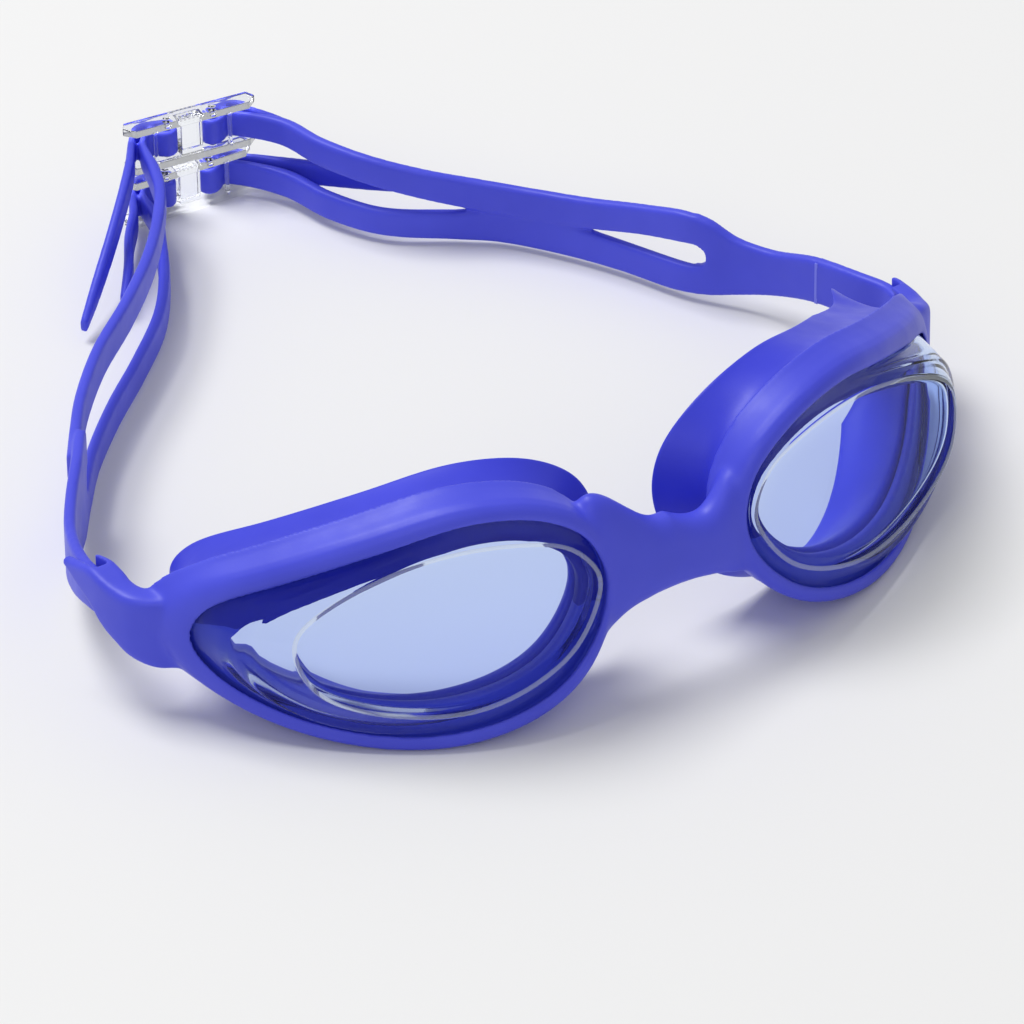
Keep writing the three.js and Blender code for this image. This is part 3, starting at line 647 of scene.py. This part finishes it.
def left_strap():
    t = STRAP_THICKNESS
    single = [
        (-LUG_X, LUG_Y, -8.1, 0.3, t), (-78, 52, -8.2, 0.1, t), (-76.4, 58.7, -10.5, -1.2, t),
        (-73, 66.9, -13.5, -2.6, t), (-67.9, 75, -17, -2.8, t), (-61.8, 83.2, -19.5, -2.2, t),
        (-59, 87.2, -20.2, -2.2, t), (-57.4, 89.4, -20.3, -2.4, t),
    ]
    upper = [
        (-61.8, 84.8, -9, -3.4, t), (-57.4, 91, -9.2, -2.8, t), (-51.6, 98.9, -9.4, -3, t),
        (-41.8, 109.6, -9.6, -3.2, t), (-30.4, 119.4, -9.6, -3.4, t), (-20.3, 129.2, -9.6, -3.8, t),
        (-12.6, 138.4, -9.8, -4.4, t), (-6, 148, -9.9, -4.7, t), (-3.4, 154, -9.9, -4.7, t),
    ]
    lower = [
        (-61, 84.6, -19.6, -15, t), (-55.6, 91.8, -20.5, -14.8, t), (-49.5, 99.5, -20.6, -15, t),
        (-39.7, 109.3, -20.7, -15, t), (-29, 118.6, -20.7, -15, t), (-18.4, 128.8, -20.7, -15, t),
        (-11.2, 138.8, -20.5, -15, t), (-6, 148.4, -20.1, -14.8, t), (-3.2, 154, -19.9, -14.7, t),
    ]
    upper_tail = [
        (-6, 158, -9.9, -4.9, 1.6), (-11.6, 151.6, -11.2, -6.2, 1.6), (-17.6, 145.6, -13.6, -8.8, 1.6),
        (-24.4, 139.8, -17.4, -13.4, 1.6), (-29, 136.2, -20, -17.4, 1.4),
    ]
    lower_tail = [
        (-5.8, 157.6, -19.8, -14.6, 1.6), (-10.4, 151.6, -19.8, -14.6, 1.6),
        (-15, 144.4, -19.8, -15, 1.6), (-19.6, 138.4, -19.6, -16.8, 1.4),
    ]
    bands = [
        (strap_end(-1, LUG_LEFT_Z)[:-1] + single, 110),
        (upper + clip_turn("upper", -1) + upper_tail, 280),
        (lower + clip_turn("lower", -1) + lower_tail, 280),
    ]
    return strap_mesh("strap_band_left", bands, (-57.4, 89.4, -12, 2.7, (-0.8, 0.6), 6))


# ---- Clips ------------------------------------------------------------------------------------------

def clip_prism(outline, low, high):
    """A flat plate of a clip, from its plan outline (along, back) and two heights."""
    rings = [np.array([(a, b, z) for a, b in outline]) for z in (low, high)]
    return stack("plate", rings)


def rounded_bar(length, depth, bevel):
    half = length / 2
    return [(-half, depth / 2 - bevel), (-half + bevel, -depth / 2), (half - bevel, -depth / 2),
            (half, depth / 2 - bevel), (half - bevel / 2, depth / 2), (bevel / 2 - half, depth / 2)]


def circle_outline(along, back, radius, points=24):
    angles = np.linspace(0, 2 * math.pi, points, endpoint=False)
    return [(along + radius * math.cos(a), back + radius * math.sin(a)) for a in angles]


def oblong(middle, half, front, back):
    return [(middle - half, front), (middle + half, front), (middle + half, back),
            (middle - half, back)]


def clip_mesh(name, clip):
    """Two rails, a ribbed middle plate, a pin in each window and a thin bar at each end."""
    offset = (CLIP_HEIGHT - CLIP_RAIL) / 2
    rail = CLIP_RAIL / 2
    parts = []
    for sign in (-1, 1):
        parts.append(clip_prism(rounded_bar(CLIP_LENGTH, CLIP_DEPTH, CLIP_BEVEL),
                                sign * offset - rail, sign * offset + rail))
        parts.append(clip_prism(circle_outline(sign * CLIP_PIN, 0, CLIP_PIN_RADIUS),
                                -offset, offset + rail + CLIP_PIN_HEAD))
        parts.append(clip_prism(circle_outline(sign * CLIP_BAR, CLIP_BAR_FRONT, CLIP_BAR_RADIUS),
                                -offset, offset))
    parts.append(clip_prism(oblong(0, PLATE_HALF, PLATE_FRONT, PLATE_BACK), -offset, offset))
    for rib in np.linspace(-RIB_SPAN, RIB_SPAN, RIB_COUNT):
        parts.append(clip_prism(oblong(rib, RIB_HALF, RIB_FRONT, RIB_BACK),
                                offset, offset + rail + RIB_RISE))
    piece = moulded(join(name, parts), CLIP_VOXEL, CLIP_ROUNDS)
    x, z, turn = CLIPS[clip]
    centre = (np.array([x, CLIP_CENTRE_DEPTH, z]) + ORIGIN) * MM
    base = Matrix.Translation(Vector(ORIGIN * MM))
    spin = Matrix.Translation(Vector(centre)) @ Matrix.Rotation(turn, 4, "Z")
    piece.data.transform(spin @ base.inverted())
    return piece


# ---- Materials ----------------------------------------------------------------------------------------

def new_material(name, **values):
    """A Principled material; values are its own socket values."""
    material = bpy.data.materials.new(name)
    material.use_nodes = True
    shader = material.node_tree.nodes["Principled BSDF"]
    for key, value in values.items():
        shader.inputs[key.replace("_", " ")].default_value = value
    return material, material.node_tree, shader


def noise(tree, scale, detail=2, roughness=0.5):
    """A noise in the object's own space, so it stays with the piece."""
    place_node = tree.nodes.new("ShaderNodeTexCoord")
    node = tree.nodes.new("ShaderNodeTexNoise")
    node.inputs["Scale"].default_value = scale
    node.inputs["Detail"].default_value = detail
    node.inputs["Roughness"].default_value = roughness
    tree.links.new(place_node.outputs["Object"], node.inputs["Vector"])
    return node


def mapped(tree, source, low, high):
    node = tree.nodes.new("ShaderNodeMapRange")
    node.inputs["To Min"].default_value = low
    node.inputs["To Max"].default_value = high
    node.inputs["From Min"].default_value = 0.3
    node.inputs["From Max"].default_value = 0.7
    tree.links.new(source, node.inputs["Value"])
    return node.outputs["Result"]


def silicone(name, shade, light, roughness, glow):
    """Soft matte silicone: faint mottling in colour and sheen, and a fine moulded grain."""
    material, tree, shader = new_material(
        name, IOR=1.41, Subsurface_Weight=glow, Subsurface_Scale=0.004, Coat_Weight=0.04,
        Coat_Roughness=0.35)
    shader.inputs["Subsurface Radius"].default_value = (0.3, 0.35, 1.0)
    ramp = tree.nodes.new("ShaderNodeValToRGB")
    ramp.color_ramp.elements[0].position = 0.3
    ramp.color_ramp.elements[0].color = (*shade, 1)
    ramp.color_ramp.elements[1].position = 0.7
    ramp.color_ramp.elements[1].color = (*light, 1)
    tree.links.new(noise(tree, 60, 3).outputs["Fac"], ramp.inputs["Fac"])
    tree.links.new(ramp.outputs["Color"], shader.inputs["Base Color"])
    tree.links.new(mapped(tree, noise(tree, 220, 4).outputs["Fac"], roughness - 0.05,
                          roughness + 0.05), shader.inputs["Roughness"])
    bump = tree.nodes.new("ShaderNodeBump")
    bump.inputs["Strength"].default_value = 0.06
    bump.inputs["Distance"].default_value = 0.0002
    tree.links.new(noise(tree, 2600, 3, 0.6).outputs["Fac"], bump.inputs["Height"])
    tree.links.new(bump.outputs["Normal"], shader.inputs["Normal"])
    return material


def clear_plastic(name, tint, ior, roughness, clearness=1.0, sheen=0.5):
    """Polished clear plastic with a trace of moulding ripple."""
    material, tree, shader = new_material(
        name, IOR=ior, Transmission_Weight=clearness, Base_Color=(*tint, 1),
        Specular_IOR_Level=sheen)
    tree.links.new(mapped(tree, noise(tree, 90, 2).outputs["Fac"], roughness, roughness + 0.02),
                   shader.inputs["Roughness"])
    bump = tree.nodes.new("ShaderNodeBump")
    bump.inputs["Strength"].default_value = 0.03
    bump.inputs["Distance"].default_value = 0.0005
    tree.links.new(noise(tree, 110, 1).outputs["Fac"], bump.inputs["Height"])
    tree.links.new(bump.outputs["Normal"], shader.inputs["Normal"])
    return material


# ---- Assembly -------------------------------------------------------------------------------------------

def finish_piece(piece, body, node, slot_name, *materials):
    for material in materials:
        piece.data.materials.append(material)
    shade_smooth(piece)
    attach(piece, body)
    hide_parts(node)
    return piece


def build_goggles():
    blue = silicone("silicone_blue", shade=(0.058, 0.07, 0.68), light=(0.07, 0.084, 0.75),
                    roughness=0.45, glow=0.06)
    soft = silicone("silicone_seal", shade=(0.035, 0.045, 0.62), light=(0.045, 0.055, 0.7),
                    roughness=0.42, glow=0.1)
    # A darker copy of the blue silicone for the frame behind the lenses' upper part: painted shade.
    deep = silicone("silicone_painted_shade", shade=(0.006, 0.008, 0.4), light=(0.009, 0.012, 0.48),
                    roughness=0.6, glow=0)
    # A paler copy of the blue silicone for the strap's mould line: a painted highlight along its ridge.
    pale = silicone("silicone_seam_painted_highlight", shade=(0.16, 0.18, 0.8), light=(0.2, 0.22, 0.88),
                    roughness=0.4, glow=0)
    lens = clear_plastic("lens_clear", (0.6, 0.72, 1.0), ior=1.25, roughness=0.01, sheen=0.3)
    # A half-clear, whitish copy of the lens plastic for the pane's rounded edge: a painted highlight.
    lens_edge_painted_highlight = clear_plastic("lens_edge_painted_highlight", (0.8, 0.89, 1.0), ior=1.5, roughness=0.1, clearness=0.75)
    clear = clear_plastic("clip_clear", (0.95, 0.97, 1.0), ior=1.5, roughness=0.03)
    # The frame's second slot holds the darker silicone: painted shade behind the lenses.
    finish_piece(frame_mesh(), "eyepiece", "frame", "frame_silicone", blue, deep)
    for side, piece in both_sides(lens_mesh).items():
        finish_piece(piece, "eyepiece", "lens_" + side, "lens_plastic", lens, lens_edge_painted_highlight)
        piece.visible_shadow = False
    for side, piece in both_sides(seal_mesh).items():
        finish_piece(piece, "eyepiece", "seal_" + side, "seal_silicone", soft)
    finish_piece(right_strap(), "strap", "strap_right", "strap_silicone", blue, pale)
    finish_piece(left_strap(), "strap", "strap_left", "strap_silicone", blue)
    for name in CLIPS:
        piece = clip_mesh("clear_clip_" + name, name)
        finish_piece(piece, "strap", "clip_" + name, "clip_plastic", clear)
        piece.visible_shadow = False


def spare_lenses(lamp):
    """Keeps a lamp's light off the lenses, where its reflection would be a white patch."""
    lit = bpy.data.collections.new(lamp.name + "_lit")
    for piece in bpy.data.objects:
        if piece.name.startswith("lens_shell"):
            lit.objects.link(piece)
    for entry in lit.collection_objects:
        entry.light_linking.link_state = "EXCLUDE"
    lamp.light_linking.receiver_collection = lit


def build_stage():
    """A pale floor, a soft light from above and behind, and even fill all round."""
    mesh = bpy.data.meshes.new("floor")
    corners = [(FLOOR_REACH * x, FLOOR_REACH * y, 0) for x, y in ((-1, -1), (1, -1), (1, 1), (-1, 1))]
    mesh.from_pydata(corners, [], [(0, 1, 2, 3)])
    floor = bpy.data.objects.new("floor", mesh)
    bpy.context.scene.collection.objects.link(floor)
    grey = (FLOOR_SHADE, FLOOR_SHADE, FLOOR_SHADE, 1)
    material, _, _ = new_material("floor_paint", Base_Color=grey, Roughness=0.9)
    floor.data.materials.append(material)
    world = bpy.data.worlds.new("studio")
    bpy.context.scene.world = world
    world.use_nodes = True
    world.node_tree.nodes["Background"].inputs["Color"].default_value = (1, 1, 1, 1)
    world.node_tree.nodes["Background"].inputs["Strength"].default_value = SKY_STRENGTH
    for name, (spot, size, power) in LAMPS.items():
        light = bpy.data.lights.new(name, "AREA")
        light.size = size
        light.energy = power
        lamp = bpy.data.objects.new(name, light)
        bpy.context.scene.collection.objects.link(lamp)
        lamp.location = spot
        lamp.rotation_euler = (-Vector(spot)).to_track_quat("-Z", "Y").to_euler()
        spare_lenses(lamp)


def build_camera():
    """The camera looks at the nose bridge from the left and above."""
    azimuth, elevation = math.radians(CAMERA_AZIMUTH), math.radians(CAMERA_ELEVATION)
    back = Vector((math.sin(azimuth) * math.cos(elevation),
                   -math.cos(azimuth) * math.cos(elevation), math.sin(elevation)))
    data = bpy.data.cameras.new("camera")
    data.sensor_width = CAMERA_SENSOR
    data.lens = CAMERA_LENS
    data.shift_x = CAMERA_SHIFT_X
    data.shift_y = CAMERA_SHIFT_Y
    data.clip_start, data.clip_end = 0.05, 20
    camera = bpy.data.objects.new("camera", data)
    bpy.context.scene.collection.objects.link(camera)
    camera.location = Vector(ORIGIN * MM) + back * CAMERA_DISTANCE
    camera.rotation_euler = (-back).to_track_quat("-Z", "Y").to_euler()
    bpy.context.scene.camera = camera


build_camera()
build_goggles()
build_stage()
bpy.context.scene.view_settings.view_transform = "Standard"
